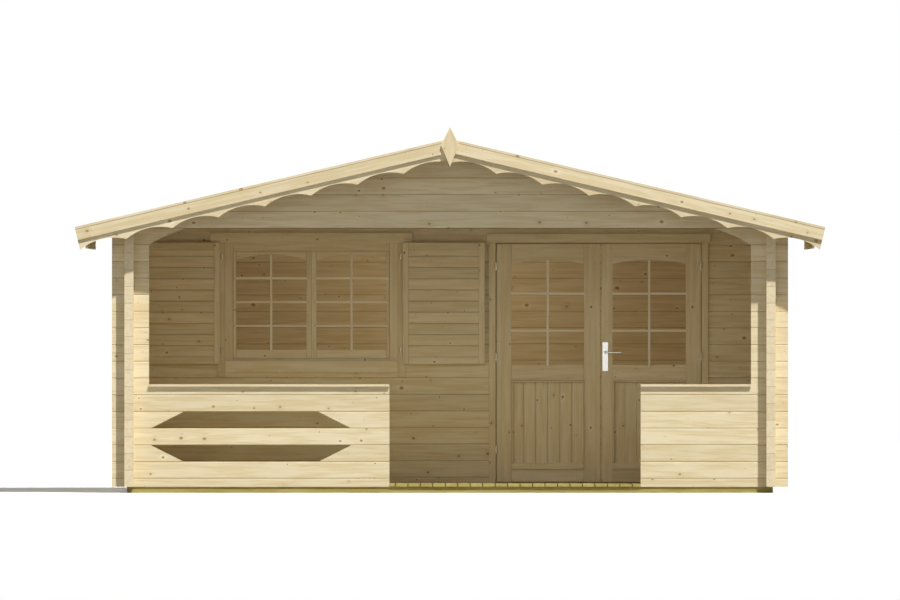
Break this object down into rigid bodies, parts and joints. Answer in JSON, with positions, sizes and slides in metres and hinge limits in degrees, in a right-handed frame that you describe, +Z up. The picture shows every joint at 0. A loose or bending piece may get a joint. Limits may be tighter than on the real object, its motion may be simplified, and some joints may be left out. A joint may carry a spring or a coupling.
{
  "type": "garden log cabin",
  "caption": "Log cabin with a front veranda under a shallow board roof, a glazed double door, a window with hinged shutters and a balustrade with cut-outs.",
  "frame": {"origin": "centre of the rectangle formed by the log ends, on the ground, under the middle bearer", "axes": "+X to the right as seen from the front, the veranda faces -Y, +Z up"},
  "size_m": [5.544, 4.906, 2.7038],
  "materials": {
    "log_wood": "planed spruce logs, pale and untreated, with knots",
    "joinery_wood": "planed spruce boards for doors, shutters, sashes and casings",
    "trim_wood": "planed spruce roof trim and cap rails",
    "roof_boards": "tongued and grooved spruce roof boards",
    "floor_boards": "planed spruce floor boards",
    "treated_wood": "pressure-treated pine, greenish",
    "window_glass": "clear float glass",
    "hinge_steel": "zinc-plated steel",
    "handle_metal": "satin anodised aluminium"
  },
  "bodies": {
    "cabin": {"bearers": "treated_wood", "veranda_deck": "treated_wood", "room_floor": "floor_boards", "purlins": "joinery_wood", "left_roof_deck": "roof_boards", "right_roof_deck": "roof_boards", "cap_rails": "trim_wood", "eave_fascias": "trim_wood", "barge_boards": "trim_wood", "scalloped_boards": "trim_wood", "verge_strips": "trim_wood", "ridge_finial": "trim_wood", "door_frame": "joinery_wood", "door_casings": "joinery_wood", "window_glass": "window_glass", "window_frame": "joinery_wood", "window_casings": "joinery_wood", "window_sashes": "joinery_wood", "left_side_wall": "log_wood", "right_side_wall": "log_wood", "rear_wall": "log_wood", "front_wall_sill": "log_wood", "front_wall_left_pier": "log_wood", "front_wall_middle_pier": "log_wood", "front_wall_right_pier": "log_wood", "front_wall_gable": "log_wood", "veranda_gable": "log_wood", "corner_posts": "log_wood", "corner_brackets": "log_wood", "left_balustrade_logs": "log_wood", "left_balustrade_blocks": "log_wood", "right_balustrade": "log_wood", "door_hinge_pins": "hinge_steel", "shutter_hinge_pins": "hinge_steel"},
    "left_door": {"left_door_leaf": "joinery_wood", "left_door_glass": "window_glass", "left_door_hinges": "hinge_steel"},
    "right_door": {"right_door_leaf": "joinery_wood", "right_door_glass": "window_glass", "right_door_hinges": "hinge_steel", "handle_plates": "handle_metal"},
    "lever": {"door_lever": "handle_metal"},
    "left_shutter": {"left_shutter": "joinery_wood", "left_shutter_hinges": "hinge_steel"},
    "right_shutter": {"right_shutter": "joinery_wood", "right_shutter_hinges": "hinge_steel"}
  },
  "joints": [
    {"name": "left_door_hinge", "type": "hinge", "parent": "cabin", "child": "left_door", "pos_m": [0.3435, -0.687, 0.99], "axis": [0, 0, -1], "range_deg": [0, 110]},
    {"name": "right_door_hinge", "type": "hinge", "parent": "cabin", "child": "right_door", "pos_m": [1.8705, -0.687, 0.99], "axis": [0, 0, 1], "range_deg": [0, 110]},
    {"name": "left_shutter_hinge", "type": "hinge", "parent": "cabin", "child": "left_shutter", "pos_m": [-1.6985, -0.6965, 1.4], "axis": [0, 0, 1], "range_deg": [0, 180]},
    {"name": "right_shutter_hinge", "type": "hinge", "parent": "cabin", "child": "right_shutter", "pos_m": [-0.3665, -0.6965, 1.4], "axis": [0, 0, -1], "range_deg": [0, 180]},
    {"name": "door_lever", "type": "hinge", "parent": "right_door", "child": "lever", "pos_m": [1.1565, -0.655, 1.035], "axis": [0, 1, 0], "range_deg": [0, 45], "stiffness_Nm_per_rad": 1.5, "springref_deg": -17.19}
  ]
}
